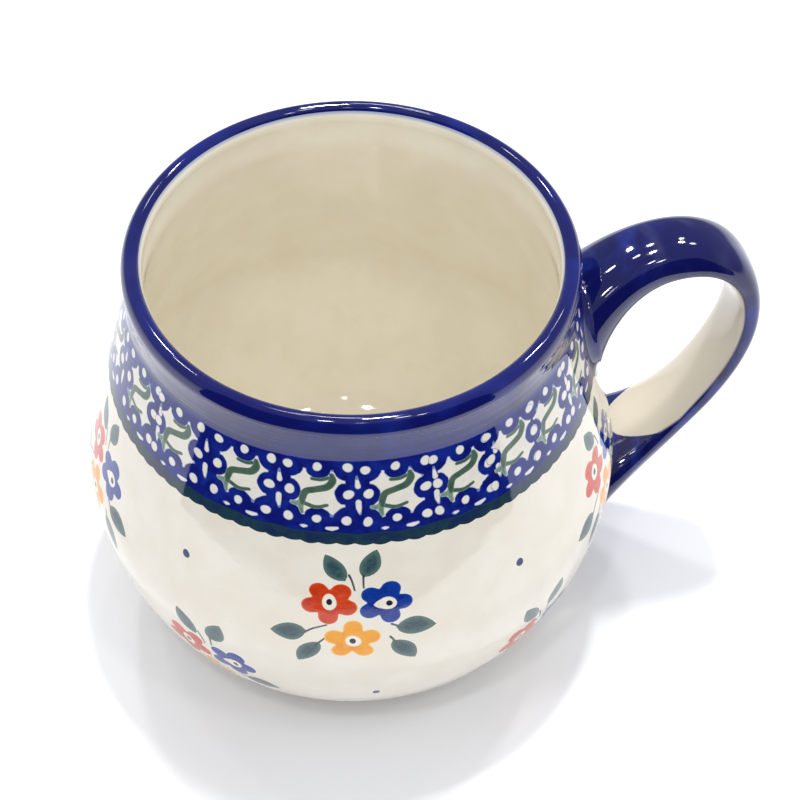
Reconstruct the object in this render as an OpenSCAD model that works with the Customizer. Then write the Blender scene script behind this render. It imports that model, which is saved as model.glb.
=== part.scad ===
// Round-bellied stoneware mug: slip-cast body, luted strap handle, fired glaze coats.
// +Z is up, +X points along the handle, and the origin is where the mug's axis meets the table.

/* [Body] */
// Height from the table to the top of the lip
height = 92; // [86:1:98]
// Radius of the lip at its widest
lip_r = 42.3; // [41:0.1:43]
// Radius of the belly at its widest
belly_r = 52.5; // [50:0.1:54]
// Height of the widest part of the belly
belly_z = 38.4; // [37:0.2:41]
// Fullness of the lower belly: 2 is an ellipse, less is flatter
belly_power = 1.78; // [1.7:0.01:2]
// Radius of the bend above the widest part of the belly
belly_arc = 24; // [14:1:30]
// Radius of the neck under the lip
neck_r = 42; // [41:0.1:43]
// Depth of the neck below the top of the lip
neck_drop = 8.8; // [8:0.2:9.4]
// Radius of the hollow bend from shoulder to neck
neck_arc = 8; // [7:0.5:11]
// Wall thickness at the belly, coats included
wall = 4.2; // [3.6:0.2:4.6]

/* [Foot] */
// Outer radius of the foot ring
foot_r = 34; // [30:0.5:36]
// Height of the foot ring
foot_h = 2; // [1.6:0.2:2.4]
// Width of the flat ring that the mug stands on
foot_w = 4; // [3:0.5:5]
// Height of the glazed underside above the table
recess_h = 1.8; // [1.4:0.1:2]
// Height of the drinking floor above the table
floor_z = 7; // [6.4:0.2:8]

/* [Glaze] */
// Thickness of every fired glaze coat
coat = 0.3; // [0.2:0.05:0.4]
// Height on the outside where the cobalt lip coat ends
rim_coat_z = 82.4; // [82:0.2:83.4]
// Bare clay left between the outside coat and the foot
bare_h = 0.8; // [0.6:0.1:1]

/* [Handle] */
// Width of the strap
strap_w = 13.6; // [12:0.2:15]
// Thickness of the strap in the middle of the loop
strap_t = 4.8; // [4.4:0.1:6]
// Distance from the mug's axis to the outside of the loop
reach = 80.7; // [77:0.1:83]
// Height where the loop stands out furthest
reach_z = 63; // [61:1:65]
// Height where the top of the loop meets the mug
upper_root_z = 79; // [77:0.5:80]
// Height where the bottom of the loop meets the mug
lower_root_z = 12; // [11:0.5:16]
// Height of the upper root, from its top to its underside
upper_root_h = 17.7; // [16:0.1:19]
// Height of the lower root, from its top to its underside
lower_root_h = 17.3; // [15:0.1:19]
// Width of the strap at the upper root
upper_root_w = 20.6; // [18:0.2:24]
// Width of the strap at the lower root
lower_root_w = 29.6; // [24:0.2:31]
// How far the upper root leans to the side, towards -Y
root_lean = 3.2; // [0:0.2:4]
// Leg of the slip fillet around each root
seam = 2.2; // [1.6:0.2:2.6]

/* [Hidden] */
$fn = 96;

clay = "#cfc0a6";
cobalt = "#1a2a6c";
cream = "#e9e2d0";

// One side of the mug from the foot to the neck, as points [r, z]: a quarter superellipse up
// to the belly, a convex bend, a straight shoulder and a hollow bend just past the neck.
neck_z = height - neck_drop;
neck_turn = 6;
function quarter(r0, z0, r1, z1, n) =
    [for (i = [0:n]) let (a = 90 * i / n)
        [r0 + (r1 - r0) * pow(sin(a), 2 / belly_power), z1 - (z1 - z0) * pow(cos(a), 2 / belly_power)]];
// Slope from vertical of the straight line that touches both bends
function slope(rb, zb, ra, rn, zn, na) =
    let (across = rn + na - rb + ra, up = zn - zb)
    asin((ra + na) / norm([across, up])) - atan2(across, up);
function side(rf, zf, rb, zb, ra, rn, zn, na) =
    let (b = slope(rb, zb, ra, rn, zn, na))
    concat(
        quarter(rf, zf, rb, zb, 22),
        [for (i = [1:8]) let (a = b * i / 8) [rb - ra * (1 - cos(a)), zb + ra * sin(a)]],
        [for (i = [0:8]) let (a = b - (b + neck_turn) * i / 8)
            [rn + na * (1 - cos(a)), zn - na * sin(a)]]);

// The glazed surface from the foot, over the lip and down to the middle of the inner floor
lip_rx = 1.9;
lip_rz = 2.6;
lip_z = height - lip_rz;
inner_floor_r = 26;
outer_pts = side(foot_r, foot_h, belly_r, belly_z, belly_arc, neck_r, neck_z, neck_arc);
lip_pts = [for (i = [0:14]) let (a = -25 + 230 * i / 14)
    [lip_r - lip_rx + lip_rx * cos(a), lip_z + lip_rz * sin(a)]];
inner_pts = side(inner_floor_r, floor_z, belly_r - wall, belly_z + 1, belly_arc - 0.8 * wall,
    neck_r - 0.8 * wall, neck_z + 1, neck_arc + 0.8 * wall);
skin = concat(outer_pts, lip_pts, [for (i = [len(inner_pts) - 1:-1:0]) inner_pts[i]], [[0, floor_z]]);

// The clay's surface lies one coat thickness inside the glazed surface
function unit(v) = v / norm(v);
function tangent(p, i) = unit(p[min(i + 1, len(p) - 1)] - p[max(i - 1, 0)]);
function inset(p, i, d) = let (t = tangent(p, i)) p[i] + d * [-t[1], t[0]];
clay_skin = [for (i = [0:len(skin) - 1])
    i == len(skin) - 1 ? skin[i] - [0, coat] : inset(skin, i, coat)];

// Indices of the points where one coat ends and the next begins
function first_above(p, z, i = 0) = p[i][1] >= z ? i : first_above(p, z, i + 1);
bare_i = first_above(skin, foot_h + bare_h);
rim_i = first_above(skin, rim_coat_z);
lip_i = len(outer_pts) + 10;

// A coat between two points of the skin, turned round the mug's axis
module coat_shell(from, to)
    rotate_extrude() polygon(concat(
        [for (i = [from:to]) skin[i]],
        [for (i = [to:-1:from]) clay_skin[i]]));

// Radius of a side outline at height z, for the stretch from the foot to the neck
function radius_at(p, z) =
    let (i = max(1, first_above(p, z)), k = (z - p[i - 1][1]) / (p[i][1] - p[i - 1][1]))
    p[i - 1][0] + k * (p[i][0] - p[i - 1][0]);
clay_side = [for (i = [0:len(outer_pts) - 1]) clay_skin[i]];

// The handle's outline seen from the side: an outer and an inner curve, each made of two
// cubic stretches that meet where the loop stands out furthest.
function cubic(a, b, c, d, t) =
    a * pow(1 - t, 3) + b * 3 * t * pow(1 - t, 2) + c * 3 * t * t * (1 - t) + d * pow(t, 3);
function away(p, angle, d) = p + d * [cos(angle), sin(angle)];
function outline(top, top_angle, top_pull, far, rise, fall, low, low_angle, low_pull, t) =
    t < 0.5
    ? cubic(top, away(top, top_angle, top_pull), far + [0, rise], far, 2 * t)
    : cubic(far, far - [0, fall], away(low, low_angle, low_pull), low, 2 * t - 1);
// Both curves start and end just inside the wall, at these angles and with these pulls.
root_depth = 0.4;
function on_side(z) = [radius_at(outer_pts, z) - root_depth, z];
function outer_curve(t) = outline(on_side(upper_root_z), 33, 21.5, [reach, reach_z], 22.5, 24.5,
    on_side(lower_root_z), 10, 5.8, t);
function inner_curve(t) = outline(on_side(upper_root_z - upper_root_h), 81, 19, [reach - strap_t, reach_z],
    22.5, 12.5, on_side(lower_root_z + lower_root_h), 13, 14.6, t);

// The strap along the loop: it flares towards both roots, and leans sideways at the upper one
upper_flare = 0.22;
lower_flare = 0.31;
function flare(x) = pow(max(0, 1 - x), 2);
function width(t) = strap_w + (upper_root_w - strap_w) * flare(t / upper_flare)
    + (lower_root_w - strap_w) * flare((1 - t) / lower_flare);
function lean(t) = -root_lean * flare(t / upper_flare);

// One ring of the strap, grown outwards by g: a rounded-rectangle section
rings = 44;
sides = 24;
section_power = 0.82;
function soft(c) = sign(c) * pow(abs(c), section_power);
function ring_point(t, k, g) =
    let (a = 360 * k / sides, o = outer_curve(t), i = inner_curve(t), n = unit(o - i),
         m = (o + i) / 2 + n * (norm(o - i) / 2 + g) * soft(sin(a)))
    [m[0], lean(t) + (width(t) / 2 + g) * soft(cos(a)), m[1]];

// The same point carried sideways on to the mug's wall, for the rings at the two roots
function on_wall(p, wall_pts) =
    [sqrt(pow(radius_at(wall_pts, p[2]), 2) - pow(p[1], 2)), p[1], p[2]];
function strap_ring(j, g, wall_pts) =
    [for (k = [0:sides - 1]) let (p = ring_point(j / rings, k, g))
        j == 0 || j == rings ? on_wall(p, wall_pts) : p];
function sum(p, i = 0) = i == len(p) - 1 ? p[i] : p[i] + sum(p, i + 1);
function mean(p) = sum(p) / len(p);

// Faces between consecutive rings of a sweep
function wall_faces(count, n, closed = false) =
    [for (j = [0:count - (closed ? 1 : 2)], k = [0:n - 1])
        let (a = j * n + k, b = j * n + (k + 1) % n, c = ((j + 1) % count) * n)
        each [[a, b, c + k], [b, c + (k + 1) % n, c + k]]];

module handle() {
    ends = [for (j = [0, rings]) let (r = strap_ring(j, 0, clay_side), c = mean(r))
        [for (s = [0.5, 0]) [for (p = r) on_wall(c + s * (p - c), clay_side)]]];
    body_rings = [for (j = [0:rings]) strap_ring(j, 0, clay_side)];
    all_rings = concat([ends[0][0]], body_rings, [ends[1][0]]);
    n = len(all_rings);
    points = concat([for (r = all_rings) each r], [ends[0][1][0]], [ends[1][1][0]]);
    caps = [for (k = [0:sides - 1]) let (k2 = (k + 1) % sides)
        each [[k2, k, n * sides], [(n - 1) * sides + k, (n - 1) * sides + k2, n * sides + 1]]];
    color(clay) polyhedron(points, concat(wall_faces(n, sides), caps), convexity = 6);
}

// The coat on the strap: a closed skin between the strap and the same strap grown by one coat
module handle_glaze() {
    inner_rings = [for (j = [0:rings]) strap_ring(j, 0, outer_pts)];
    outer_rings = [for (j = [rings:-1:0]) strap_ring(j, coat, outer_pts)];
    all_rings = concat(inner_rings, outer_rings);
    n = len(all_rings);
    color(cobalt) polyhedron([for (r = all_rings) each r],
        [for (f = wall_faces(n, sides, true)) [f[0], f[2], f[1]]], convexity = 8);
}

// A slip fillet round a root, where end is 0 for the upper root and 1 for the lower one: a
// closed ring whose hollow-faced section leans on the strap's coat and on the mug's coat.
one_ring = 1 / rings;
hollow = 0.32;
function root_loop(end) = [for (k = [0:sides - 1]) on_wall(ring_point(end, k, coat), outer_pts)];
function fillet_section(corner, centre, along) =
    let (up = seam * unit(along - corner),
         out = on_wall(corner + seam * unit(corner - centre), outer_pts))
    [corner, out, (corner + out) / 2 + hollow * up, corner + up];
module luting_seam(end) {
    loop = root_loop(end);
    centre = mean(loop);
    points = [for (k = [0:sides - 1])
        each fillet_section(loop[k], centre, ring_point(abs(end - one_ring), k, coat))];
    faces = wall_faces(sides, 4, true);
    flipped = [for (f = faces) [f[0], f[2], f[1]]];
    color(cobalt) polyhedron(points, end == 0 ? faces : flipped, convexity = 6);
}
module upper_luting_seam() luting_seam(0);
module lower_luting_seam() luting_seam(1);

// The cast body: everything inside the glazed surface, down to the bare foot ring
foot_chamfer = 0.5;
module stoneware_body() {
    underside = [
        [0, recess_h + coat],
        [foot_r - foot_w - 1.2, recess_h + coat],
        [foot_r - foot_w, 0],
        [foot_r - foot_chamfer, 0],
        [foot_r, foot_chamfer],
        [foot_r, foot_h]];
    bare = [for (i = [1:bare_i - 1]) skin[i]];
    glazed = [for (i = [bare_i:len(skin) - 1]) clay_skin[i]];
    color(clay) rotate_extrude() polygon(concat(underside, bare, glazed));
}

module inside_glaze() color(cream) coat_shell(lip_i, len(skin) - 1);
module rim_glaze() color(cobalt) coat_shell(rim_i, lip_i);

// The outside coat stops where the handle is luted straight on to the clay
module outside_glaze() color(cream) difference() {
    coat_shell(bare_i, rim_i);
    for (end = [0, 1])
        rotate([90, 0, 90]) linear_extrude(reach)
            polygon([for (k = [0:sides - 1]) let (p = ring_point(end, k, 0)) [p[1], p[2]]]);
}

// The coat on the recessed underside, inside the foot ring
module base_glaze() color(cream)
    translate([0, 0, recess_h]) cylinder(h = coat, r = foot_r - foot_w - 1.4);

stoneware_body();
handle();
upper_luting_seam();
lower_luting_seam();
inside_glaze();
rim_glaze();
outside_glaze();
base_glaze();
handle_glaze();
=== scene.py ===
import random
from math import asin, atan2, ceil, cos, hypot, pi, radians, sin, sqrt, tau

import bpy
import numpy as np
from mathutils import Matrix, Vector
from mathutils.geometry import delaunay_2d_cdt


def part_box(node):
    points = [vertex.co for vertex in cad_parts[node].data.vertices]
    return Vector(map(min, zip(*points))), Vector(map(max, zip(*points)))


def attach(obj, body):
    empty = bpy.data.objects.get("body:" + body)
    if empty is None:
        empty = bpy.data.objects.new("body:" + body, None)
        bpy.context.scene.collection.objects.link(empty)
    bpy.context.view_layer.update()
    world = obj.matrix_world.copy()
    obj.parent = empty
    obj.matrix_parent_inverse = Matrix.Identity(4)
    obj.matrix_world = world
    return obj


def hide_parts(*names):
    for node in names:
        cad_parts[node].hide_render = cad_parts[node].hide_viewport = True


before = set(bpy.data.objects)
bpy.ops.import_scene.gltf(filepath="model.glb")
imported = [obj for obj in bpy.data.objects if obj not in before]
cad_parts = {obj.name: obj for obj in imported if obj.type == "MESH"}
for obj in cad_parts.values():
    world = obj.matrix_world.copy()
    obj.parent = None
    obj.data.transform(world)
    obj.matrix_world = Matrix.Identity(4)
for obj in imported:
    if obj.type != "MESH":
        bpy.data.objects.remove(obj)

for leftover in ("Cube", "Light", "Camera"):
    if leftover in bpy.data.objects:
        bpy.data.objects.remove(bpy.data.objects[leftover])
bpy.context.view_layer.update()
MM = 0.001
dice = random.Random(7)


# ---------------------------------------------------------------- sizes, in millimetres
def node_box(node):
    low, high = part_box(node)
    return low / MM, high / MM


# Read from the CAD boxes
LIP_LOW, LIP_HIGH = node_box("rim_glaze")
BELLY_LOW, BELLY_HIGH = node_box("outside_glaze")
BASE_LOW, BASE_HIGH = node_box("base_glaze")
HEIGHT, LIP_R, RIM_COAT_Z = LIP_HIGH.z, LIP_HIGH.y, LIP_LOW.z
BELLY_R, BARE_Z = BELLY_HIGH.y, BELLY_LOW.z
COAT = BASE_HIGH.z - BASE_LOW.z
RECESS_Z, BASE_R = BASE_LOW.z, BASE_HIGH.x
FLOOR_Z = node_box("inside_glaze")[0].z + COAT
REACH = node_box("handle")[1].x

# Sizes inside those boxes, the same as in the CAD model
BELLY_Z, BELLY_ARC, BELLY_POWER = 38.4, 24.0, 1.78
NECK_R, NECK_Z, NECK_ARC, NECK_TURN = 42.0, HEIGHT - 8.8, 8.0, radians(6)
LIP_RX, LIP_RZ = 1.9, 2.6
WALL = 4.2
INNER_FLOOR_R = 26.0
INNER_ARC_CHANGE = 0.8 * WALL
FOOT_W, FOOT_H = 4.0, 2.0
FOOT_INNER_R = BASE_R + 1.4
FOOT_R = FOOT_INNER_R + FOOT_W
REACH_Z = 63.0
STRAP_W, STRAP_T = 13.6, 4.8
UPPER_ROOT_Z, UPPER_ROOT_H, UPPER_ROOT_W, UPPER_FLARE = 79.0, 17.7, 20.6, 0.22
LOWER_ROOT_Z, LOWER_ROOT_H, LOWER_ROOT_W, LOWER_FLARE = 12.0, 17.3, 29.6, 0.31
ROOT_LEAN = 3.2
SEAM = 2.2

# The lip's steps from outside to inside, and how many of them the cobalt covers
LIP_STEPS, COBALT_STEPS = 70, 50
LIP_FROM, LIP_TO = -25, 205


# ---------------------------------------------------------------- outlines of the round body
def quarter(r0, z0, r1, z1, count):
    """A quarter of a superellipse, from the foot to the widest part of the belly."""
    a, power = np.linspace(0, pi / 2, count), 2 / BELLY_POWER
    return np.stack([r0 + (r1 - r0) * np.sin(a) ** power, z1 - (z1 - z0) * np.cos(a) ** power], 1)


def side(foot_r, foot_z, belly_r, belly_z, belly_arc, neck_r, neck_z, neck_arc):
    """One side of the mug: lower belly, round bend, straight shoulder and hollow neck."""
    across, up = neck_r + neck_arc - belly_r + belly_arc, neck_z - belly_z
    slope = asin((belly_arc + neck_arc) / hypot(across, up)) - atan2(across, up)
    bend = np.linspace(0, slope, 60)[1:]
    turn = np.linspace(slope, -NECK_TURN, 50)
    belly = np.stack([belly_r - belly_arc * (1 - np.cos(bend)), belly_z + belly_arc * np.sin(bend)], 1)
    neck = np.stack([neck_r + neck_arc * (1 - np.cos(turn)), neck_z - neck_arc * np.sin(turn)], 1)
    straight = np.linspace(belly[-1], neck[0], 20)[1:-1]
    return np.concatenate([quarter(foot_r, foot_z, belly_r, belly_z, 110), belly, straight, neck])


def lip():
    angles = np.radians(np.linspace(LIP_FROM, LIP_TO, LIP_STEPS + 1))
    r = LIP_R - LIP_RX + LIP_RX * np.cos(angles)
    z = HEIGHT - LIP_RZ + LIP_RZ * np.sin(angles)
    return np.stack([r, z], 1)


class Outline:
    """A line of [r, z] points, read by the distance along it, with its outside on the right."""

    def __init__(self, points):
        self.points = points
        steps = np.hypot(*np.diff(points, axis=0).T)
        self.length = np.concatenate([[0], np.cumsum(steps)])
        slopes = np.gradient(points, self.length, axis=0)
        slopes /= np.linalg.norm(slopes, axis=1)[:, None]
        self.normals = np.stack([slopes[:, 1], -slopes[:, 0]], 1)

    def read(self, values, s):
        return np.stack([np.interp(s, self.length, column) for column in values.T], -1)

    def at(self, s, depth=0.0):
        return self.read(self.points, s) - depth * self.read(self.normals, s)

    def normal(self, s):
        return self.read(self.normals, s)

    def s_at_z(self, z):
        return float(np.interp(z, self.points[:, 1], self.length))

    def r_at_z(self, z):
        return np.interp(z, self.points[:, 1], self.points[:, 0])


outer = Outline(side(FOOT_R, FOOT_H, BELLY_R, BELLY_Z, BELLY_ARC, NECK_R, NECK_Z, NECK_ARC))
inner = Outline(side(INNER_FLOOR_R, FLOOR_Z, BELLY_R - WALL, BELLY_Z + 1, BELLY_ARC - INNER_ARC_CHANGE,
                     NECK_R - INNER_ARC_CHANGE, NECK_Z + 1, NECK_ARC + INNER_ARC_CHANGE))
lip_line = Outline(lip())


# ---------------------------------------------------------------- meshes
SHARP_EDGE, SHARP_SEAM_EDGE = radians(50), radians(60)


def make_mesh(name, points_mm, faces, materials, material_of=None):
    mesh = bpy.data.meshes.new(name)
    mesh.from_pydata((np.asarray(points_mm) * MM).tolist(), [], faces)
    for material in materials:
        mesh.materials.append(material)
    if material_of is not None:
        mesh.polygons.foreach_set("material_index", np.asarray(material_of, np.int32))
    mesh.polygons.foreach_set("use_smooth", [True] * len(mesh.polygons))
    mesh.update()
    obj = bpy.data.objects.new(name, mesh)
    bpy.context.scene.collection.objects.link(obj)
    return obj


def turned(name, section, material, segments=360):
    """A closed loop of [r, z] points turned round the axis. Points on the axis become poles."""
    points, rows = [], []
    for r, z in section:
        if r < 1e-6:
            rows.append([len(points)])
            points.append((0, 0, z))
        else:
            rows.append(list(range(len(points), len(points) + segments)))
            angles = [tau * k / segments for k in range(segments)]
            points += [(r * cos(a), r * sin(a), z) for a in angles]
    faces = []
    for low, high in zip(rows, rows[1:] + rows[:1]):
        for k in range(segments):
            corners = [low[k % len(low)], low[(k + 1) % len(low)],
                       high[(k + 1) % len(high)], high[k % len(high)]]
            face = [v for i, v in enumerate(corners) if v != corners[i - 1]]
            if len(face) > 2:
                faces.append(face)
    obj = make_mesh(name, points, faces, [material])
    obj.data.set_sharp_from_angle(angle=SHARP_EDGE)
    return obj


# ---------------------------------------------------------------- materials
def linear(value):
    return ((value / 255 + 0.055) / 1.055) ** 2.4 if value > 10 else value / 255 / 12.92


def srgb(red, green, blue):
    """A colour given as 0 to 255 display values, as linear light."""
    return linear(red), linear(green), linear(blue), 1


class Nodes:
    """A material's node tree with short calls for the nodes that the glazes share."""

    def __init__(self, name):
        self.material = bpy.data.materials.new(name)
        self.material.use_nodes = True
        self.tree = self.material.node_tree
        self.shader = self.tree.nodes["Principled BSDF"]
        self.coords = self.add("ShaderNodeTexCoord").outputs["Object"]

    def add(self, kind, **values):
        node = self.tree.nodes.new(kind)
        for key, value in values.items():
            if hasattr(node, key):
                setattr(node, key, value)
            else:
                node.inputs[key.replace("_", " ")].default_value = value
        return node

    def link(self, output, socket):
        self.tree.links.new(output, socket)

    def noise(self, per_mm, detail=3.0, stretch=(1, 1, 1), distortion=0.0):
        mapping = self.add("ShaderNodeMapping")
        mapping.inputs["Scale"].default_value = [v / MM * per_mm for v in stretch]
        self.link(self.coords, mapping.inputs["Vector"])
        noise = self.add("ShaderNodeTexNoise", Scale=1.0, Detail=detail, Roughness=0.55,
                         Distortion=distortion)
        self.link(mapping.outputs["Vector"], noise.inputs["Vector"])
        return noise.outputs["Fac"]

    def attribute(self, name):
        return self.add("ShaderNodeAttribute", attribute_name=name).outputs["Fac"]

    def remap(self, value, low, high, to_low=0.0, to_high=1.0, smooth=False):
        node = self.add("ShaderNodeMapRange")
        node.interpolation_type = "SMOOTHSTEP" if smooth else "LINEAR"
        for key, number in zip(("From Min", "From Max", "To Min", "To Max"), (low, high, to_low, to_high)):
            node.inputs[key].default_value = number
        self.link(value, node.inputs["Value"])
        return node.outputs["Result"]

    def mix(self, factor, a, b):
        node = self.add("ShaderNodeMix", data_type="RGBA")
        self.link(factor, node.inputs[0])
        for value, socket in ((a, node.inputs[6]), (b, node.inputs[7])):
            if isinstance(value, tuple):
                socket.default_value = value
            else:
                self.link(value, socket)
        return node.outputs[2]

    def bump(self, height, distance_mm, previous=None):
        node = self.add("ShaderNodeBump", Strength=1.0, Distance=distance_mm * MM)
        self.link(height, node.inputs["Height"])
        if previous is not None:
            self.link(previous, node.inputs["Normal"])
        return node.outputs["Normal"]


GLAZE_IOR = 1.6
GLAZE_ROUGHNESS = 0.045
CREAM, CREAM_WARM = srgb(234, 228, 215), srgb(229, 221, 205)
# The liner's creams are painted lighter than the outside ones, for the light inside the bowl
LIT_LINER_CREAM, LIT_LINER_WARM = srgb(245, 240, 226), srgb(241, 234, 217)
# The first colour here is the handle's bare inner face: a little browner than the cream and painted darker
# for the shade on it
SHADED_BARE_CREAM, SPECK = srgb(212, 204, 187), srgb(150, 118, 82)
BLED_COBALT = srgb(120, 142, 190)
# In the next two lines the last, greyish cobalt is partly glaze that ran off and partly a painted
# reflection of the room
DEEP_COBALT, THIN_COBALT, WORN_AND_SHEEN_COBALT = srgb(9, 13, 76), srgb(28, 46, 134), srgb(56, 58, 100)
DEEP_LIP, THIN_LIP, WORN_AND_SHEEN_LIP = srgb(9, 15, 86), srgb(14, 30, 112), srgb(24, 30, 92)
CLAY_LIGHT, CLAY_DARK, CLAY_GRAIN = srgb(205, 186, 156), srgb(184, 160, 126), srgb(140, 112, 82)


def glaze_surface(nodes, colour, waves=0.05, ridges=0.0):
    """The fired glaze itself: glass-smooth, with slow waves and a fine orange-peel skin."""
    shader = nodes.shader
    nodes.link(colour, shader.inputs["Base Color"])
    shader.inputs["IOR"].default_value = GLAZE_IOR
    rough = nodes.remap(nodes.noise(0.35, detail=4), 0.3, 0.75,
                        GLAZE_ROUGHNESS * 0.7, GLAZE_ROUGHNESS * 1.6)
    nodes.link(rough, shader.inputs["Roughness"])
    normal = nodes.bump(nodes.noise(0.06, detail=1), waves * 6)
    if ridges:
        turned_marks = nodes.noise(1.0, detail=2, stretch=(0.02, 0.02, 0.45))
        normal = nodes.bump(turned_marks, ridges, previous=normal)
    fine = nodes.bump(nodes.noise(0.9, detail=2), waves * 0.12, previous=normal)
    nodes.link(fine, shader.inputs["Normal"])
    return nodes.material


def cream_glaze(name, colour, darker, bled_z=None):
    """Clear glaze over cloudy, faintly specked clay. Cobalt bleeds down into it from bled_z."""
    nodes = Nodes(name)
    cloud = nodes.remap(nodes.noise(0.12, detail=5), 0.3, 0.7, smooth=True)
    clouded = nodes.mix(cloud, colour, darker)
    grain = nodes.remap(nodes.noise(2.4, detail=2), 0.68, 0.8, 0.0, 0.25)
    ground = nodes.mix(grain, clouded, SPECK)
    if bled_z is not None:
        split = nodes.add("ShaderNodeSeparateXYZ")
        nodes.link(nodes.coords, split.inputs["Vector"])
        bled = nodes.remap(split.outputs["Z"], (bled_z - 0.9) * MM, bled_z * MM, 0.0, 0.75, smooth=True)
        ground = nodes.mix(bled, ground, BLED_COBALT)
    return glaze_surface(nodes, ground)


def brushed(name, core, edge, streak, reach, per_mm):
    """Underglaze colour laid by brush or stamp: edge colour at its outline, streaks inside."""
    nodes = Nodes(name)
    streaks = nodes.remap(nodes.noise(per_mm, detail=4, distortion=0.6), 0.35, 0.7, smooth=True)
    body = nodes.mix(streaks, core, streak)
    depth = nodes.remap(nodes.attribute("depth"), 0.0, reach, smooth=True)
    return glaze_surface(nodes, nodes.mix(depth, edge, body))


def cobalt_glaze(name, deep, thin, worn_and_sheen, per_mm=0.1, waves=0.05, ridges=0.0, pale=False):
    """Brushed cobalt: deep where it lies thick, brighter where thin, greyish where it ran off and in
    patches of painted reflection.
    """
    nodes = Nodes(name)
    patches = nodes.remap(nodes.noise(per_mm, detail=5, distortion=0.8), 0.42, 0.7, smooth=True)
    # Greyish patches: partly run-off glaze, partly painted reflection
    run_and_sheen_noise = nodes.noise(per_mm * 0.8, detail=3, distortion=1.2)
    greyed_and_sheen = nodes.remap(run_and_sheen_noise, 0.52, 0.68, 0.0, 0.75, smooth=True)
    colour = nodes.mix(greyed_and_sheen, nodes.mix(patches, deep, thin), worn_and_sheen)
    if pale:
        # The bare inner face gets a cream that is painted darker for shade
        bare = nodes.remap(nodes.attribute("pale"), -0.2, 0.3, smooth=True)
        colour = nodes.mix(bare, colour, SHADED_BARE_CREAM)
    return glaze_surface(nodes, colour, waves=waves, ridges=ridges)


def bare_clay():
    nodes = Nodes("bare_clay")
    cloud = nodes.remap(nodes.noise(0.25, detail=6), 0.3, 0.7)
    colour = nodes.mix(cloud, CLAY_LIGHT, CLAY_DARK)
    grain = nodes.remap(nodes.noise(3.0, detail=3), 0.62, 0.75)
    nodes.link(nodes.mix(grain, colour, CLAY_GRAIN), nodes.shader.inputs["Base Color"])
    nodes.link(nodes.remap(nodes.noise(1.5), 0.3, 0.7, 0.75, 0.95), nodes.shader.inputs["Roughness"])
    nodes.link(nodes.bump(nodes.noise(2.5, detail=4), 0.06), nodes.shader.inputs["Normal"])
    return nodes.material


# Each paint's material name, its core, edge and streak colours, the width of its edge in mm and
# how fine its streaks are, per mm
BRUSHED = {
    "cobalt": ("stamped_cobalt", (8, 18, 104), (8, 18, 104), (16, 38, 132), 0.5, 0.3),
    "resist": ("stamp_resist", (228, 223, 210), (110, 126, 178), (220, 217, 207), 0.22, 0.5),
    "scroll": ("scroll_green", (74, 100, 82), (104, 126, 112), (56, 84, 72), 0.3, 0.5),
    "tail": ("scroll_tail", (122, 146, 124), (142, 160, 152), (96, 124, 110), 0.3, 0.5),
    "border": ("border_teal", (22, 42, 78), (28, 56, 66), (30, 60, 68), 0.6, 0.35),
    "red": ("petal_red", (206, 66, 24), (222, 106, 66), (190, 50, 16), 0.35, 0.5),
    "blue": ("petal_blue", (10, 56, 150), (34, 84, 166), (6, 38, 124), 0.4, 0.5),
    "yellow": ("petal_yellow", (238, 162, 28), (244, 188, 90), (232, 142, 6), 0.4, 0.5),
    "eye": ("flower_eye", (238, 232, 218), (228, 210, 194), (234, 228, 212), 0.3, 0.5),
    "ink": ("ink_dot", (18, 20, 36), (46, 52, 80), (14, 16, 30), 0.25, 0.5),
    "navy": ("navy_dot", (24, 38, 104), (62, 76, 132), (18, 28, 84), 0.3, 0.5),
    "leaf": ("leaf_green", (42, 68, 82), (84, 112, 104), (62, 90, 90), 1.2, 0.9),
    "stem": ("stem_ink", (44, 48, 58), (80, 88, 90), (38, 42, 52), 0.15, 0.5),
}
PAINTS = {"cream": cream_glaze("cream_ground", CREAM, CREAM_WARM)}
for paint_name, (material_name, core, edge, streak, edge_width, per_mm) in BRUSHED.items():
    PAINTS[paint_name] = brushed(material_name, srgb(*core), srgb(*edge), srgb(*streak), edge_width, per_mm)
PAINT_ORDER = list(PAINTS)

# The liner is painted lighter than the outside cream, as painted light in the bowl
LINER = cream_glaze("cream_liner", LIT_LINER_CREAM, LIT_LINER_WARM, lip_line.points[COBALT_STEPS, 1])
RIM_COBALT = cobalt_glaze("rim_cobalt", DEEP_LIP, THIN_LIP, WORN_AND_SHEEN_LIP, per_mm=0.05, ridges=0.1)
HANDLE_GLAZE = cobalt_glaze("handle_cobalt", DEEP_COBALT, THIN_COBALT, WORN_AND_SHEEN_COBALT, 0.06, 0.08, pale=True)
SEAM_GLAZE = cobalt_glaze("seam_cobalt", DEEP_COBALT, THIN_COBALT, WORN_AND_SHEEN_COBALT)
CLAY = bare_clay()


# ---------------------------------------------------------------- painted shapes
# Outlines in millimetres about the shape's own middle, x to the right and y up the wall.
CAP_ANGLES = (0.8, 0.0, -0.8)


def circle(x, y, rx, ry=None, turn=0.0, wobble=0.05, count=18):
    """A brushed or stamped dot, slightly out of round."""
    ry = ry or rx
    phase, second = dice.random() * tau, dice.random() * tau
    points = []
    for k in range(count):
        a = tau * k / count
        swell = 1 + wobble * sin(2 * a + phase) + 0.5 * wobble * sin(3 * a + second)
        u, v = rx * swell * cos(a), ry * swell * sin(a)
        points.append((x + u * cos(turn) - v * sin(turn), y + u * sin(turn) + v * cos(turn)))
    return points


def spline(points, per_span=6):
    """A smooth line through a few points (Catmull-Rom)."""
    p = [np.array(q, float) for q in points]
    p = [2 * p[0] - p[1]] + p + [2 * p[-1] - p[-2]]
    line = []
    for a, b, c, d in zip(p, p[1:], p[2:], p[3:]):
        for k in range(per_span):
            t = k / per_span
            line.append(0.5 * (2 * b + (c - a) * t + (2 * a - 5 * b + 4 * c - d) * t * t
                               + (3 * b - a - 3 * c + d) * t ** 3))
    return np.array(line + [p[-2]])


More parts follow.
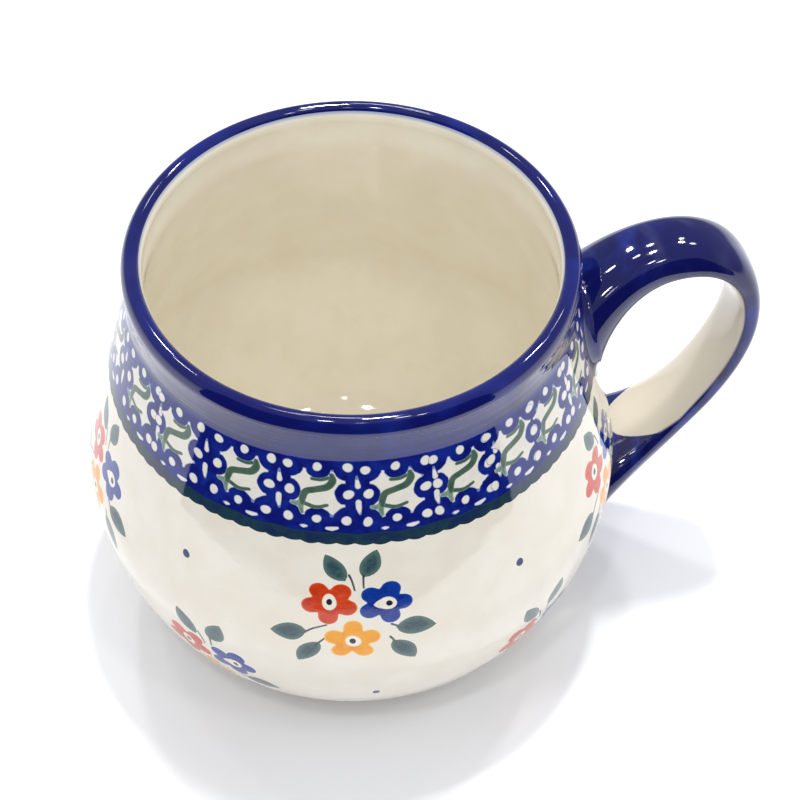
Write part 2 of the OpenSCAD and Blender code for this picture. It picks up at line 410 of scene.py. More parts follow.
def stroke(points, widths, per_span=6):
    """A brush stroke along a few points, its width given at each of them, with rounded ends."""
    line = spline(points, per_span)
    count = len(line)
    half = np.interp(np.linspace(0, 1, count), np.linspace(0, 1, len(widths)), widths) / 2
    along = np.gradient(line, axis=0)
    along /= np.linalg.norm(along, axis=1)[:, None]
    across = np.stack([-along[:, 1], along[:, 0]], 1)
    left, right = line + across * half[:, None], line - across * half[:, None]
    tip = [line[-1] + half[-1] * (along[-1] * cos(a) + across[-1] * sin(a)) for a in CAP_ANGLES]
    tail = [line[0] - half[0] * (along[0] * cos(a) + across[0] * sin(a)) for a in CAP_ANGLES]
    return [tuple(q) for q in [*left, *tip, *right[::-1], *tail]]


def leaf(base, tip, width, bend=0.0, count=11):
    """A pressed-brush leaf, widest just before its middle and drawn out to a point."""
    base, tip = np.array(base, float), np.array(tip, float)
    axis = tip - base
    across = np.array([-axis[1], axis[0]]) / np.linalg.norm(axis)
    sides = []
    for sign in (1, -1):
        row = []
        for k in range(count):
            t = k / (count - 1)
            swell = sin(pi * t ** 0.86) ** 0.78 if 0 < t < 1 else 0.0
            curve = bend * sin(pi * t)
            row.append(base + axis * t + across * (sign * width / 2 * swell + curve))
        sides.append(row)
    return [tuple(q) for q in sides[0] + sides[1][-2:0:-1]]


def flower(x, y, first_angle, reach, petal, disc, steps=14):
    """A stamped flower with five round petals, as one outline."""
    centres = [radians(first_angle + 72 * k + dice.uniform(-3, 3)) for k in range(5)]
    sizes = [petal * dice.uniform(0.96, 1.05) for k in range(5)]
    radii = []
    for k in range(5 * steps):
        a = centres[0] + tau * k / (5 * steps)
        r = disc
        for middle, size in zip(centres, sizes):
            across = reach * sin(a - middle)
            if abs(across) < size and cos(a - middle) > 0:
                r = max(r, reach * cos(a - middle) + sqrt(size * size - across * across))
        radii.append(r)
    outline = []
    for k, r in enumerate(radii):
        a = centres[0] + tau * k / (5 * steps)
        soft_r = 0.5 * r + 0.25 * (radii[k - 1] + radii[(k + 1) % len(radii)])
        outline.append((x + soft_r * cos(a), y + soft_r * sin(a)))
    return outline


def flower_cluster():
    """A spray of one red, one blue and one yellow flower with six leaves."""
    stems = [
        [(-0.5, 12.2), (0.1, 10.6), (0.6, 8.4)],
        [(2.3, 12.4), (2.25, 10.8), (2.3, 9.0)],
        [(-9.0, -3.1), (-7.2, -1.6), (-4.6, -0.4)],
        [(-7.4, -7.0), (-5.7, -4.8), (-4.0, -2.8)],
        [(7.4, -0.5), (9.0, -1.5), (10.6, -3.0)],
        [(7.1, -3.7), (7.9, -5.0), (8.9, -6.6)],
    ]
    leaves = [
        ((-1.2, 10.7), (-5.2, 17.0), 4.1, 0.25),
        ((2.2, 11.6), (5.0, 18.2), 4.2, -0.2),
        ((-8.4, -2.2), (-15.1, -3.7), 4.4, 0.35),
        ((-5.9, -5.0), (-9.9, -11.9), 3.9, -0.3),
        ((8.2, -1.4), (15.8, -2.6), 4.5, 0.3),
        ((7.5, -4.8), (11.8, -11.5), 4.0, 0.3),
    ]
    shapes = []
    for base, tip, width, bend in leaves:
        shapes.append(("leaf", leaf(base, tip, width * dice.uniform(0.94, 1.06), bend)))
    for line in stems:
        shapes.append(("stem", stroke(line, (0.5, 0.42, 0.36), 4)))
    return shapes + [
        ("red", flower(-4.2, 5.2, -90, 3.5, 1.98, 3.1)),
        ("blue", flower(6.3, 5.0, -4, 3.4, 1.95, 3.0)),
        ("yellow", flower(0.2, -4.4, 90, 3.5, 1.88, 3.0)),
        ("eye", circle(-4.2, 5.35, 1.45, 2.0)),
        ("eye", leaf((7.4, 4.9), (4.1, 4.65), 2.4)),
        ("eye", circle(6.75, 4.85, 1.75, 1.65)),
        ("eye", circle(0.3, -4.4, 1.5, 1.55)),
        ("ink", circle(-4.2, 5.4, 0.6, 0.75)),
        ("ink", circle(7.1, 4.8, 0.6, 0.72, 0.4)),
        ("ink", circle(0.2, -4.35, 0.6, 0.72)),
    ]


def star():
    """The pale shape that eight round blobs with dark halos leave free between them."""
    arcs = (((5.6, 0.0), 2.5, 180, 60, 9), ((5.6, 5.6), 2.85, 225, 26, 6))
    arm_tip = ((4.98, 2.25), (5.08, 2.8))
    points = []
    for quarter_turn in range(4):
        turn = quarter_turn * pi / 2
        line = []
        for (cx, cy), radius, middle, half, count in arcs:
            for a in np.radians(np.linspace(middle + half, middle - half, count)):
                line.append((cx + radius * cos(a), cy + radius * sin(a)))
            line += arm_tip if cy == 0 else [(y, x) for x, y in arm_tip[::-1]]
        points += [(x * cos(turn) - y * sin(turn), x * sin(turn) + y * cos(turn)) for x, y in line]
    return points


def jittered(points, amount):
    return [(x + dice.uniform(-amount, amount), y + dice.uniform(-amount, amount)) for x, y in points]


SCROLL_STROKES = (
    ("tail", [(-2.7, -1.6), (-3.3, -2.6), (-4.5, -2.7)], (1.0, 1.3, 0.9), 4),
    ("tail", [(-2.8, -2.0), (-3.0, -3.3), (-2.75, -4.5)], (1.1, 1.1, 0.7), 4),
    ("scroll", [(-1.1, 2.9), (0.5, 2.85), (1.9, 3.3)], (0.75, 0.8, 0.8), 4),
    ("scroll", [(-2.3, -2.5), (-0.3, -3.05), (1.7, -2.5)], (0.9, 0.85, 0.7), 4),
    ("scroll", [(2.5, 3.9), (2.65, 2.7), (1.7, 1.4), (-0.4, 0.7), (-2.1, 0.1), (-2.7, -1.2), (-2.75, -2.5)],
     (1.0, 1.55, 1.5, 1.35, 1.4, 1.4, 1.0), 5),
)
STAMP_DOTS = ((-0.1, 5.5, 0.95, 0.95), (-5.25, 0.15, 1.02, 1.06), (-5.6, 5.35, 1.05, 0.9),
              (-5.25, -5.7, 0.92, 1.08), (5.45, 0.0, 1.12, 1.0), (5.5, 5.5, 1.0, 1.04),
              (5.2, -5.7, 1.02, 1.0), (-0.15, -5.5, 0.88, 0.95))
STAMP_TICKS = (
    ("resist", [(7.05, 3.7), (7.1, 2.8), (7.25, 1.6)], (0.45, 0.8, 1.2), 3),
    ("resist", [(7.3, -1.7), (7.35, -3.0), (7.55, -4.3)], (1.2, 1.15, 0.5), 3),
    ("resist", [(1.7, -7.45), (2.6, -7.5), (3.5, -7.3)], (0.75, 1.05, 0.7), 3),
    ("resist", [(-2.9, -7.35), (-2.4, -7.4), (-1.9, -7.35)], (0.5, 0.9, 0.6), 3),
)


def stamp():
    """One impression of the band's sponge stamp, with its brushed green scroll."""
    shapes = [("resist", jittered(star(), 0.07))]
    shapes += [(paint, stroke(*brush)) for paint, *brush in SCROLL_STROKES]
    for x, y, rx, ry in STAMP_DOTS:
        dx, dy = dice.uniform(-0.12, 0.12), dice.uniform(-0.12, 0.12)
        dot = circle(x + dx, y + dy, rx, ry, dice.uniform(-0.4, 0.4), 0.05, 14)
        shapes.append(("resist", dot))
    return shapes + [(paint, stroke(*brush)) for paint, *brush in STAMP_TICKS]


def placed(shapes, centre, s, radius, turn=0.0, size=1.0, tall=1.0):
    """Shapes in millimetres about their own middle, moved to an angle and a height on the wall."""
    moved = []
    for paint, points in shapes:
        line = []
        for x, y in points:
            u = size * (x * cos(turn) - y * sin(turn))
            v = size * tall * (x * sin(turn) + y * cos(turn))
            line.append((centre + u / radius, s + v))
        moved.append((paint, line))
    return moved


# ---------------------------------------------------------------- the decorated coat
# The coat is cut as a flat sheet, x along the girth and y along the outline, and then wrapped round.
GRID_COLUMNS = 360
# Width of the ring of points inside each outline over which its colour fades
SOFT_EDGE = 0.4
TINY = 1e-4


def edge_distance(points, outline):
    """How far each point is from a closed outline, in millimetres."""
    a = np.asarray(outline)
    b = np.roll(a, -1, 0)
    ab = b - a
    t = ((points[:, None] - a) * ab).sum(-1) / np.maximum((ab * ab).sum(-1), 1e-12)
    nearest = a + np.clip(t, 0, 1)[..., None] * ab
    return np.sqrt(((points[:, None] - nearest) ** 2).sum(-1)).min(1)


def anticlockwise(outline):
    x, y = outline[:, 0], outline[:, 1]
    doubled_area = np.sum(x * np.roll(y, -1) - np.roll(x, -1) * y)
    return outline if doubled_area > 0 else outline[::-1]


def shrunk(outline, amount):
    """Points a little inside an anticlockwise outline, so that colour can fade towards its edge."""
    tangent = np.roll(outline, -1, 0) - np.roll(outline, 1, 0)
    tangent /= np.maximum(np.linalg.norm(tangent, axis=1), 1e-9)[:, None]
    moved = outline + amount * np.stack([-tangent[:, 1], tangent[:, 0]], 1)
    return moved[edge_distance(moved, outline) > amount * 0.75]


def cut_sheet(radius, s_low, s_high, shapes, ground, row_step):
    """The sheet cut into triangles: its points, its triangles and the shape that each one shows.

    Shape 0 is the ground. The last shape on a spot is the one seen."""
    width = tau * radius
    rows = max(2, ceil((s_high - s_low) / row_step))
    columns = np.linspace(0, width, GRID_COLUMNS + 1)
    points = [(x, y) for y in np.linspace(s_low, s_high, rows + 1) for x in columns]
    across = GRID_COLUMNS + 1
    edges = []
    for row in (0, rows):
        edges += [(row * across + k, row * across + k + 1) for k in range(GRID_COLUMNS)]
    for column in (0, GRID_COLUMNS):
        edges += [(k * across + column, (k + 1) * across + column) for k in range(rows)]
    faces = [[0, GRID_COLUMNS, rows * across + GRID_COLUMNS, rows * across]]
    outlines, paints = [None], [ground]
    for paint, outline in shapes:
        flat = anticlockwise(np.array([(angle * radius, s) for angle, s in outline]))
        goes_round = np.ptp(flat[:, 0]) > width
        for shift in (0,) if goes_round else (-width, 0, width):
            moved = flat + (shift, 0)
            inside = (moved[:, 0].max() > 0 and moved[:, 0].min() < width
                      and moved[:, 1].max() > s_low and moved[:, 1].min() < s_high)
            if not inside:
                continue
            faces.append(list(range(len(points), len(points) + len(moved))))
            points += [tuple(q) for q in moved]
            outlines.append(moved)
            paints.append(paint)
            loose = shrunk(moved, SOFT_EDGE)
            clear = (loose[:, 0] > 0.1) & (loose[:, 0] < width - 0.1)
            clear &= (loose[:, 1] > s_low + 0.1) & (loose[:, 1] < s_high - 0.1)
            points += [tuple(q) for q in loose[clear]]

    found = delaunay_2d_cdt([Vector(p) for p in points], edges, faces, 0, 1e-5)
    flat, triangles, owners = np.array([tuple(v) for v in found[0]]), found[2], found[5]
    kept = [(triangle, max(owner)) for triangle, owner in zip(triangles, owners) if 0 in owner]
    used = sorted({v for triangle, _ in kept for v in triangle})
    renumber = {v: k for k, v in enumerate(used)}
    triangles = [[renumber[v] for v in triangle] for triangle, _ in kept]
    seen = [owner for _, owner in kept]
    depth = fade_depth(flat[used], triangles, seen, outlines)
    return flat[used], triangles, [paints[k] for k in seen], depth


def painted_coat(name, line, s_low, s_high, shapes, ground, row_step):
    """A closed coat whose outside is cut into painted shapes."""
    radius = float(np.mean(line.at(np.linspace(s_low, s_high, 50))[:, 0]))
    width = tau * radius
    flat, triangles, paints, depth = cut_sheet(radius, s_low, s_high, shapes, ground, row_step)
    low_loop, high_loop = boundary(flat, s_low), boundary(flat, s_high)
    back_flat, back_faces = plain_sheet(flat[low_loop], flat[high_loop], s_low, s_high)

    front_count, back_corners = len(flat), 3 * len(back_faces)
    front3, front_normals = on_line(line, flat, radius, 0.0)
    back3, back_normals = on_line(line, back_flat, radius, COAT)
    points = np.concatenate([front3, back3])
    normals = np.concatenate([front_normals, -back_normals])
    faces = triangles + [[front_count + v for v in face[::-1]] for face in back_faces]
    back_low = [front_count + k for k in range(len(low_loop))]
    back_high = [front_count + len(low_loop) + k for k in range(len(high_loop))]
    rim_corners = 0
    for front, back, flip in ((low_loop, back_low, True), (high_loop, back_high, False)):
        for k in range(len(front) - 1):
            strip = [front[k], front[k + 1], back[k + 1], back[k]]
            faces.append(strip[::-1] if flip else strip)
            rim_corners += len(strip)
    paints += [ground] * (len(faces) - len(paints))
    depth += [1.0] * (back_corners + rim_corners)

    seam = seam_pairs(flat, width)
    seam.update({front_count + k: front_count + v for k, v in seam_pairs(back_flat, width).items()})
    merged = [k for k in range(len(points)) if k not in seam]
    order = {k: i for i, k in enumerate(merged)}
    order.update({k: order[v] for k, v in seam.items()})
    faces = [[order[v] for v in face] for face in faces]
    face_paint = [PAINT_ORDER.index(paint) for paint in paints]
    obj = make_mesh(name, points[merged], faces, [PAINTS[p] for p in PAINT_ORDER], face_paint)
    obj.data.attributes.new("depth", "FLOAT", "CORNER").data.foreach_set("value", depth)
    obj.data.normals_split_custom_set_from_vertices(normals[merged].tolist())
    return obj


def fade_depth(flat, triangles, seen, outlines):
    """For each triangle corner, its distance from the outline of the shape that the triangle shows."""
    corners = np.array(triangles)
    owner = np.array(seen)
    depth = np.ones((len(corners), 3))
    for shape in np.unique(owner):
        if outlines[shape] is None:
            continue
        rows = np.nonzero(owner == shape)[0]
        vertices, where = np.unique(corners[rows], return_inverse=True)
        away = edge_distance(flat[vertices], outlines[shape])
        depth[rows] = away[where].reshape(len(rows), 3)
    return depth.reshape(-1).tolist()


def boundary(flat, s):
    """The vertices on one edge of the sheet, in order round the mug."""
    on_edge = np.nonzero(np.abs(flat[:, 1] - s) < TINY)[0]
    return on_edge[np.argsort(flat[on_edge, 0])].tolist()


def plain_sheet(low, high, s_low, s_high, step=4.0):
    """An undecorated sheet with the same two edges, for the coat's side that lies on the clay."""
    width = low[-1][0]
    inner_rows = np.linspace(s_low, s_high, max(2, ceil((s_high - s_low) / step)) + 1)[1:-1]
    columns = np.linspace(0, width, GRID_COLUMNS // 3 + 1)
    points = [tuple(p) for p in low] + [tuple(p) for p in high]
    points += [(x, y) for y in inner_rows for x in columns]
    count = len(low)
    edges = [(k, k + 1) for k in range(count - 1)]
    edges += [(count + k, count + k + 1) for k in range(len(high) - 1)]
    found = delaunay_2d_cdt([Vector(p) for p in points], edges, [], 0, 1e-6)
    triangles, sources = found[2], found[3]
    origin = {new: old for new, olds in enumerate(sources) for old in olds}
    return np.array(points), [[origin[v] for v in triangle] for triangle in triangles]


def on_line(line, flat, radius, depth):
    """Sheet points carried on to the turned surface, with that surface's own normals."""
    angle = flat[:, 0] / radius
    rz = line.at(flat[:, 1], depth)
    n = line.normal(flat[:, 1])
    points = np.stack([rz[:, 0] * np.cos(angle), rz[:, 0] * np.sin(angle), rz[:, 1]], 1)
    normals = np.stack([n[:, 0] * np.cos(angle), n[:, 0] * np.sin(angle), n[:, 1]], 1)
    return points, normals / np.linalg.norm(normals, axis=1)[:, None]


def seam_pairs(flat, width):
    """The vertices on a sheet's right edge, each with the one that it meets on the left edge."""
    left = np.nonzero(np.abs(flat[:, 0]) < TINY)[0]
    right = np.nonzero(np.abs(flat[:, 0] - width) < TINY)[0]
    return {int(r): int(left[np.abs(flat[left, 1] - flat[r, 1]).argmin()]) for r in right}


# Angles round the mug start at the handle. The camera sees the handle turned a little away from it.
HANDLE_TURN = radians(12.6)
FRONT = -pi / 2 - HANDLE_TURN


def facing(degrees):
    """An angle given from the middle of the side that the camera sees."""
    return FRONT + radians(degrees)


# Radii at which angles turn into millimetres, and how far the brush work is drawn out in height
BELLY_RADIUS, BAND_RADIUS = 51.5, 44.4
UPPER_TALL, LOWER_TALL, BAND_TALL = 0.95, 1.06, 1.04
# Distances up the wall from the foot, along its outline
UPPER_ROW_S, LOWER_ROW_S, STAMP_S = 51.6, 25.3, 81.3
BORDER_LOW_S, BORDER_HIGH_S = 70.2, 72.7
BORDER_MARGIN = 1.0
# Sprays as degrees from the front and mm below their row, dots as degrees and distance up the wall
UPPER_SPRAYS = ((1.9, 0.0), (75, 0.8), (146, -0.4), (218, 0.5), (288.5, 0.3))
LOWER_SPRAYS = ((-31.8, 0.2), (47.3, 2.6), (118, 0.5), (190, 1.2), (260, 0.2))
UPPER_DOTS = ((-35.9, 57.5), (40.2, 55.0), (110, 56.5), (182, 55.5), (254, 57.0))
LOWER_DOTS = ((7.4, 25.7), (82, 26.2), (154, 25.2), (226, 26.2), (295, 25.2))
# The stamper's hand: the first stamp and the steps between stamps, in degrees
FIRST_STAMP = -59.7
STAMP_STEPS = [16.0, 19.4, 18.4, 18.3, 16.3, 14.6, 13.7, 16.4] + [18.8] * 11
SCALLOPS = 90


def belly_shapes():
    shapes = []
    for angle, drop in UPPER_SPRAYS:
        shapes += placed(flower_cluster(), facing(angle), UPPER_ROW_S - drop, BELLY_RADIUS,
                         radians(dice.uniform(-2, 2)) * (drop != 0), tall=UPPER_TALL)
    for angle, drop in LOWER_SPRAYS:
        shapes += placed(flower_cluster(), facing(angle), LOWER_ROW_S - drop, BELLY_RADIUS,
                         radians(dice.uniform(-3, 3)), 0.97, LOWER_TALL)
    for dots, rx in ((UPPER_DOTS, 0.85), (LOWER_DOTS, 0.8)):
        for angle, s in dots:
            shapes += placed([("navy", circle(0, 0, rx, 0.95))], facing(angle), s, BELLY_RADIUS)
    return shapes


def wavy_strip(s_low, s_high, low_wave, high_wave, scallop=0.0, count=720):
    """A strip all the way round, each edge a little wavy, the low one scalloped by the brush."""
    def edge(s, amount, phase, drop):
        line = []
        for k in range(-2, count + 3):
            a = tau * k / count
            wave = sin(31 * a + phase) + 0.6 * sin(47 * a + 2 * phase) + 0.5 * sin(13 * a)
            line.append((a, s + amount * wave / 2 - drop * abs(sin(SCALLOPS * a / 2))))
        return line
    return edge(s_low, low_wave, 0.4, scallop) + edge(s_high, high_wave, 2.1, 0.0)[::-1]


def band_shapes(s_top):
    shapes = [("cobalt", wavy_strip(BORDER_HIGH_S - 0.6, s_top + 1, 0.1, 0.0))]
    angle = FIRST_STAMP
    for step in STAMP_STEPS + [0]:
        size = 1 + dice.uniform(-0.015, 0.015)
        shapes += placed(stamp(), facing(angle), STAMP_S + dice.uniform(-0.15, 0.15), BAND_RADIUS,
                         radians(dice.uniform(-1.5, 1.5)), size, BAND_TALL)
        angle += step
    shapes.append(("border", wavy_strip(BORDER_LOW_S + 0.2, BORDER_HIGH_S, 0.15, 0.25, 0.4)))
    return shapes


# ---------------------------------------------------------------- the handle
def cubic(a, b, c, d, t):
    t = t[:, None]
    return a * (1 - t) ** 3 + 3 * b * t * (1 - t) ** 2 + 3 * c * t * t * (1 - t) + d * t ** 3


def away(p, degrees, distance):
    return np.array(p) + distance * np.array([cos(radians(degrees)), sin(radians(degrees))])


def loop_outline(top, top_angle, top_pull, far, rise, fall, low, low_angle, low_pull, t):
    far = np.array(far)
    upper_t, lower_t = np.clip(2 * t, 0, 1), np.clip(2 * t - 1, 0, 1)
    upper = cubic(np.array(top), away(top, top_angle, top_pull), far + (0, rise), far, upper_t)
    lower = cubic(far, far - (0, fall), away(low, low_angle, low_pull), np.array(low), lower_t)
    return np.where((t < 0.5)[:, None], upper, lower)


def on_side(z):
    """A point just inside the mug's wall, where an outline of the strap starts or ends."""
    return np.array([outer.r_at_z(z) - 0.4, z])


def outer_curve(t):
    return loop_outline(on_side(UPPER_ROOT_Z), 33, 21.5, (REACH, REACH_Z), 22.5, 24.5,
                        on_side(LOWER_ROOT_Z), 10, 5.8, t)


def inner_curve(t):
    return loop_outline(on_side(UPPER_ROOT_Z - UPPER_ROOT_H), 81, 19, (REACH - STRAP_T, REACH_Z),
                        22.5, 12.5, on_side(LOWER_ROOT_Z + LOWER_ROOT_H), 13, 14.6, t)


def flare(x):
    return np.clip(1 - x, 0, 1) ** 2


def strap_width(t):
    return (STRAP_W + (UPPER_ROOT_W - STRAP_W) * flare(t / UPPER_FLARE)
            + (LOWER_ROOT_W - STRAP_W) * flare((1 - t) / LOWER_FLARE))


def strap_lean(t):
    return -ROOT_LEAN * flare(t / UPPER_FLARE)


SECTION_POWER = 0.82
SIDES = 72
RINGS = 200


def soft(values):
    return np.sign(values) * np.abs(values) ** SECTION_POWER


def strap_rings(t, grow):
    """Rings of points round the strap at each t, as an array of ring, side, xyz."""
    angles = np.linspace(0, tau, SIDES, endpoint=False)
    out, into = outer_curve(t), inner_curve(t)
    middle, reach = (out + into) / 2, np.linalg.norm(out - into, axis=1)
    n = (out - into) / reach[:, None]
    lift = (reach / 2 + grow)[:, None] * soft(np.sin(angles))
    spread = strap_lean(t)[:, None] + (strap_width(t) / 2 + grow)[:, None] * soft(np.cos(angles))
    x = middle[:, :1] + n[:, :1] * lift
    z = middle[:, 1:] + n[:, 1:] * lift
    return np.stack([x, spread, z], -1)


def on_wall(points, line):
    """Points carried along X on to the mug's wall."""
    moved = np.array(points)
    moved[..., 0] = np.sqrt(line.r_at_z(moved[..., 2]) ** 2 - moved[..., 1] ** 2)
    return moved


def grid_faces(rings, sides, flip=False):
    faces = []
    for j in range(rings - 1):
        for k in range(sides):
            a, b = j * sides + k, j * sides + (k + 1) % sides
            face = [a, b, b + sides, a + sides]
            faces.append(face[::-1] if flip else face)
    return faces


# ---------------------------------------------------------------- camera, floor and light
CAMERA_TILT = radians(49.07)
CAMERA_ROLL = radians(1.49)
CAMERA_DISTANCE = 420.0
LENS = 94.8
SENSOR = 36.0
AIM = Vector((0, 0, 45))
AIM_SHIFT = Vector((9.57, 3.26))

FLOOR_HALF, FLOOR_COLOUR = 20.0, (0.89, 0.9, 0.93, 1)
WORLD_COLOUR, WORLD_LIGHT, MIRRORED_LIGHT = (0.97, 0.98, 1.0, 1), 0.80, 0.34
FLAG_COLOUR, FLAG_POINTS, FLAG_LIFT = (0.02, 0.02, 0.022, 1), 24, 0.004
FLAG_NEAR, FLAG_FAR, FLAG_HEIGHT, FLAG_HALF = 0.147, 0.7, 0.75, radians(62)
LAMP_DISTANCE, LAMP_SIZE = 1.5, 0.1
# Each lamp's azimuth and elevation in degrees and its power in watts. The key, the one over the
# mug and the one behind it cast the floor's shadows; the others are mirrored as small highlights.
LAMPS = (("key", 38, 57, 3.0), ("key_right", 50, 53, 0.5), ("key_low", 30, 51, 0.5),
         ("over", 13, 77, 7.5), ("back", -24, 54, 2.6), ("back_middle", -4, 60, 0.8),
         ("left", -50, 60, 0.9), ("top_left", -24, 72, 0.5), ("front", 196, 66, 1.6),
         ("handle_a", 139, 72, 0.8), ("handle_b", 135, 62, 0.6), ("front_left", 173, 57, 0.2))


def make_camera():
    back = Vector((0, -cos(CAMERA_TILT), sin(CAMERA_TILT)))
    right = Vector((1, 0, 0))
    up = Vector((0, sin(CAMERA_TILT), cos(CAMERA_TILT)))
    rolled_right = right * cos(CAMERA_ROLL) + up * sin(CAMERA_ROLL)
    rolled_up = up * cos(CAMERA_ROLL) - right * sin(CAMERA_ROLL)
    place = AIM + back * CAMERA_DISTANCE + rolled_right * AIM_SHIFT.x + rolled_up * AIM_SHIFT.y
    turn = Matrix.Rotation(-HANDLE_TURN, 3, "Z")
    axes = Matrix([turn @ rolled_right, turn @ rolled_up, turn @ back]).transposed()
    data = bpy.data.cameras.new("camera")
    data.lens = LENS
    data.sensor_width = SENSOR
    data.clip_start, data.clip_end = 0.01, 20
    camera = bpy.data.objects.new("camera", data)
    camera.matrix_world = Matrix.Translation(turn @ place * MM) @ axes.to_4x4()
    bpy.context.scene.collection.objects.link(camera)
    bpy.context.scene.camera = camera


def towards(azimuth, elevation):
    """A direction given from the camera's side: azimuth 0 is behind the mug, 90 is to its right."""
    a, e = radians(90 - azimuth) - HANDLE_TURN, radians(elevation)
    return Vector((cos(a) * cos(e), sin(a) * cos(e), sin(e)))


def make_lamp(name, azimuth, elevation, power):
    data = bpy.data.lights.new(name, "AREA")
    data.shape = "DISK"
    data.size = LAMP_SIZE
    data.energy = power
    lamp = bpy.data.objects.new(name, data)
    aim = towards(azimuth, elevation)
    lamp.location = aim * LAMP_DISTANCE
    lamp.rotation_euler = aim.to_track_quat("Z", "Y").to_euler()
    bpy.context.scene.collection.objects.link(lamp)


def make_floor():
    mesh = bpy.data.meshes.new("floor")
    corners = [(x * FLOOR_HALF, y * FLOOR_HALF, 0) for x, y in ((-1, -1), (1, -1), (1, 1), (-1, 1))]
    mesh.from_pydata(corners, [], [(0, 1, 2, 3)])
    nodes = Nodes("floor")
    nodes.shader.inputs["Base Color"].default_value = FLOOR_COLOUR
    nodes.shader.inputs["Roughness"].default_value = 0.6
    mesh.materials.append(nodes.material)
    floor = bpy.data.objects.new("floor", mesh)
    bpy.context.scene.collection.objects.link(floor)


def make_world():
    """Soft white light all round. What the glaze mirrors of it is darker, like a room's ceiling."""
    world = bpy.data.worlds.new("studio")
    world.use_nodes = True
    tree = world.node_tree
    background = tree.nodes["Background"]
    background.inputs["Color"].default_value = WORLD_COLOUR
    path = tree.nodes.new("ShaderNodeLightPath")
    strength = tree.nodes.new("ShaderNodeMapRange")
    strength.inputs["To Min"].default_value = WORLD_LIGHT
    strength.inputs["To Max"].default_value = MIRRORED_LIGHT
    tree.links.new(path.outputs["Is Glossy Ray"], strength.inputs["Value"])
    tree.links.new(strength.outputs["Result"], background.inputs["Strength"])
    bpy.context.scene.world = world


def make_flag(name, points, faces):
    """A black studio flag that only darkens what the glaze mirrors from the camera's side."""
    mesh = bpy.data.meshes.new(name)
    mesh.from_pydata([tuple(p) for p in points], [], faces)
    nodes = Nodes(name)
    nodes.shader.inputs["Base Color"].default_value = FLAG_COLOUR
    nodes.shader.inputs["Roughness"].default_value = 1.0
    nodes.shader.inputs["Specular IOR Level"].default_value = 0.0
    mesh.materials.append(nodes.material)
    flag = bpy.data.objects.new(name, mesh)
    flag.visible_camera = flag.visible_diffuse = flag.visible_shadow = flag.visible_transmission = False
    bpy.context.scene.collection.objects.link(flag)


def make_flags():
    """One flag round the mug's front on the floor, and one standing on its far edge."""
    turn = Matrix.Rotation(-HANDLE_TURN, 3, "Z")
    steps = np.linspace(-FLAG_HALF, FLAG_HALF, FLAG_POINTS)
    near, low = ([turn @ Vector((r * sin(a), -r * cos(a), FLAG_LIFT)) for a in steps]
                 for r in (FLAG_NEAR, FLAG_FAR))
    high = [p + Vector((0, 0, FLAG_HEIGHT)) for p in low]
    standing = [(k, k + 1, FLAG_POINTS + k + 1, FLAG_POINTS + k) for k in range(FLAG_POINTS - 1)]
    lying = [(k, FLAG_POINTS + k, FLAG_POINTS + k + 1, k + 1) for k in range(FLAG_POINTS - 1)]
    make_flag("front_flag", low + high, standing)
    make_flag("floor_flag", near + low, lying)


make_camera()
make_floor()
make_flags()
make_world()
for lamp in LAMPS:
    make_lamp(*lamp)
bpy.context.scene.view_settings.view_transform = "Standard"


# ---------------------------------------------------------------- the pieces
def lathe_pieces():
    """The clay body, the liner, the cobalt lip and the base coat, as closed turned solids."""
    outer_s = np.linspace(outer.s_at_z(BARE_Z), outer.length[-1], 150)
    lip_all = lip_line.at(lip_line.length)
    lip_clay = lip_line.at(lip_line.length, COAT)
    inner_s = np.linspace(0, inner.length[-1], 200)
    inner_skin, inner_clay = inner.at(inner_s)[::-1], inner.at(inner_s, -COAT)[::-1]
    rim_s = np.linspace(outer.s_at_z(RIM_COAT_Z), outer.length[-1], 40)

    foot = [(0, RECESS_Z + COAT), (FOOT_INNER_R - 1.2, RECESS_Z + COAT), (FOOT_INNER_R - 0.5, 0.35),
            (FOOT_INNER_R, 0.0), (FOOT_R - 0.5, 0.0), (FOOT_R - 0.15, 0.15), (FOOT_R, 0.5),
            (FOOT_R, FOOT_H)]
    bare_s = np.linspace(0, outer.s_at_z(BARE_Z), 12)[1:-1]
    clay_section = np.concatenate([foot, outer.at(bare_s), outer.at(outer_s, COAT), lip_clay,
                                   inner_clay, [(0, FLOOR_Z - COAT)]])
    clay = turned("clay_body", clay_section, CLAY, 240)

    liner_front = np.concatenate([lip_all[COBALT_STEPS:], inner_skin, [(0, FLOOR_Z)]])
    liner_back = np.concatenate([lip_clay[COBALT_STEPS:], inner_clay, [(0, FLOOR_Z - COAT)]])[::-1]
    liner = turned("liner_coat", np.concatenate([liner_front, liner_back]), LINER)

    rim_front = np.concatenate([outer.at(rim_s), lip_all[:COBALT_STEPS + 1]])
    rim_back = np.concatenate([outer.at(rim_s, COAT), lip_clay[:COBALT_STEPS + 1]])[::-1]
    rim = turned("cobalt_lip_coat", np.concatenate([rim_front, rim_back]), RIM_COBALT)

    base_section = [(0, RECESS_Z), (BASE_R, RECESS_Z), (BASE_R, RECESS_Z + COAT), (0, RECESS_Z + COAT)]
    base = turned("base_coat", base_section, PAINTS["cream"], 180)
    return {"stoneware_body": clay, "inside_glaze": liner, "rim_glaze": rim, "base_glaze": base}


